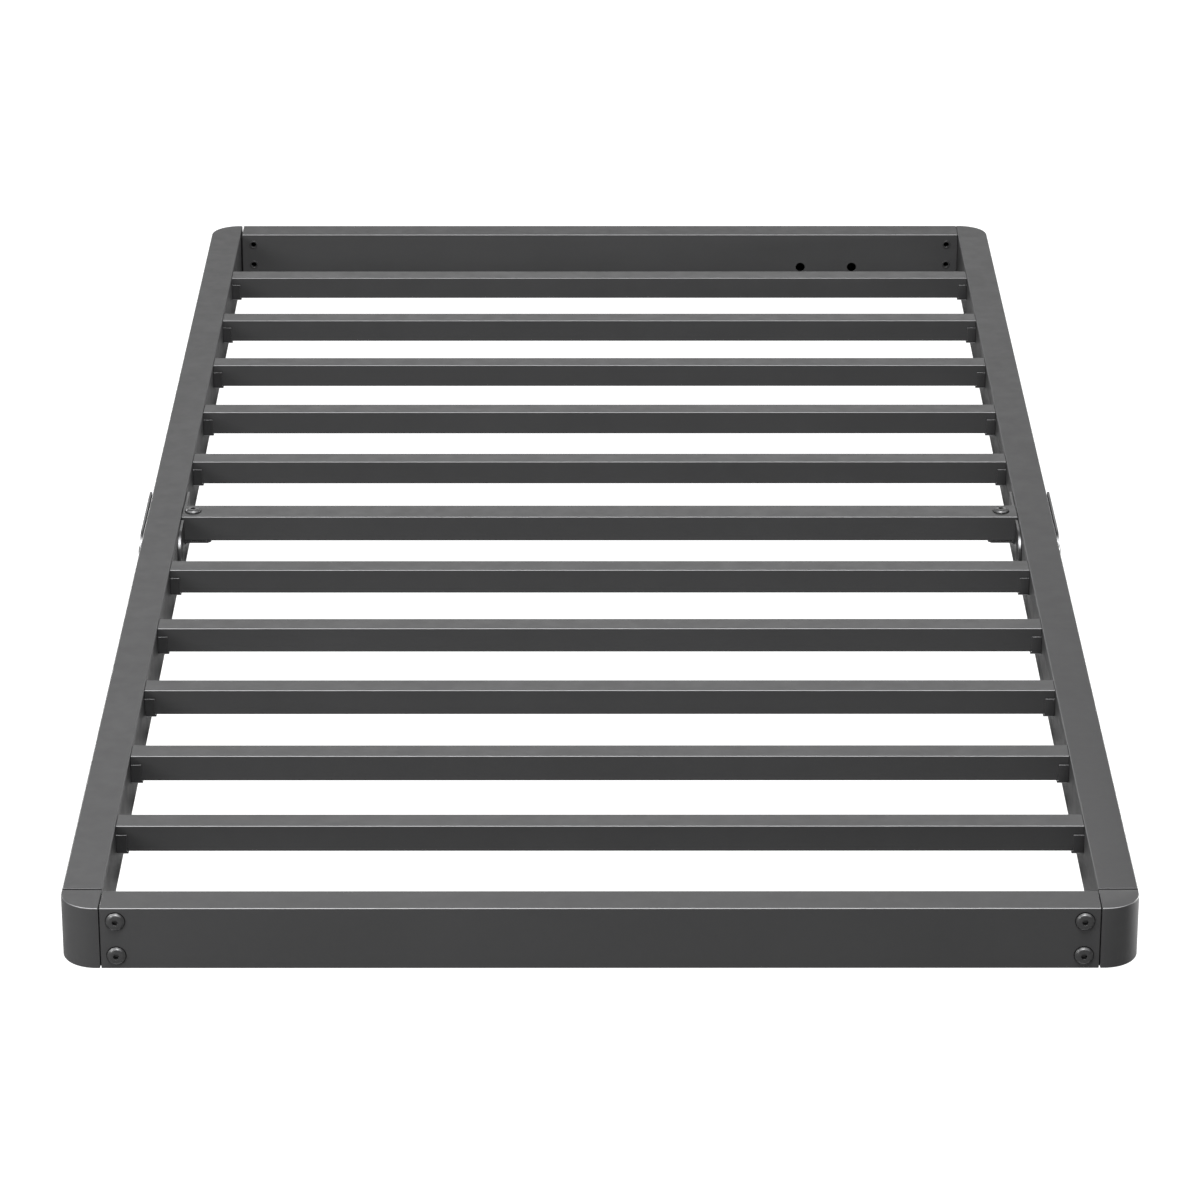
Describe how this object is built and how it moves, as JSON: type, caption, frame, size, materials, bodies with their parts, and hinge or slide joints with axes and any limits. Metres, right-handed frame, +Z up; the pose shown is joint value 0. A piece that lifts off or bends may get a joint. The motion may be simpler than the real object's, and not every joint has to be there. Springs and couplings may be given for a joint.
{
  "type": "roof cargo platform",
  "caption": "Flat slatted roof cargo platform: rounded-corner box-section frame with bolted end rails and cross slats held in U-shaped cradles.",
  "frame": {"origin": "middle of the footprint, level with the underside of the rails", "axes": "+X to the right seen from the front end (the end with the two separate rounded corners), +Y along the length from the front end to the rear end, +Z up"},
  "size_m": [0.9656, 1.9156, 0.06],
  "materials": {
    "rail_coating": "satin powder coat",
    "slat_coating": "satin powder coat",
    "bracket_coating": "satin powder coat",
    "insert_steel": "matt black paint",
    "fastener_black": "satin black"
  },
  "bodies": {
    "root": {"side_rail_left": "rail_coating", "side_rail_right": "rail_coating", "front_corner_left": "rail_coating", "front_corner_right": "rail_coating", "front_rail": "rail_coating", "rear_rail": "rail_coating", "slat_01": "slat_coating", "slat_02": "slat_coating", "slat_03": "slat_coating", "slat_04": "slat_coating", "slat_05": "slat_coating", "slat_07": "slat_coating", "slat_08": "slat_coating", "slat_09": "slat_coating", "slat_10": "slat_coating", "slat_11": "slat_coating", "centre_slat": "slat_coating", "cradle_01_left": "bracket_coating", "cradle_01_right": "bracket_coating", "cradle_02_left": "bracket_coating", "cradle_02_right": "bracket_coating", "cradle_03_left": "bracket_coating", "cradle_03_right": "bracket_coating", "cradle_04_left": "bracket_coating", "cradle_04_right": "bracket_coating", "cradle_05_left": "bracket_coating", "cradle_05_right": "bracket_coating", "cradle_07_left": "bracket_coating", "cradle_07_right": "bracket_coating", "cradle_08_left": "bracket_coating", "cradle_08_right": "bracket_coating", "cradle_09_left": "bracket_coating", "cradle_09_right": "bracket_coating", "cradle_10_left": "bracket_coating", "cradle_10_right": "bracket_coating", "cradle_11_left": "bracket_coating", "cradle_11_right": "bracket_coating", "centre_bracket_left": "bracket_coating", "centre_bracket_right": "bracket_coating", "side_plate_left": "bracket_coating", "side_plate_right": "bracket_coating", "side_sleeve_left": "insert_steel", "side_sleeve_right": "insert_steel", "front_insert_left": "insert_steel", "front_insert_right": "insert_steel", "rear_insert_left": "insert_steel", "rear_insert_right": "insert_steel", "front_screw_left_upper": "fastener_black", "front_screw_left_lower": "fastener_black", "front_screw_right_upper": "fastener_black", "front_screw_right_lower": "fastener_black", "rear_screw_left_upper": "fastener_black", "rear_screw_left_lower": "fastener_black", "rear_screw_right_upper": "fastener_black", "rear_screw_right_lower": "fastener_black", "centre_screw_left": "fastener_black", "centre_screw_right": "fastener_black", "plate_rivet_left": "fastener_black", "plate_rivet_right": "fastener_black"}
  },
  "joints": []
}
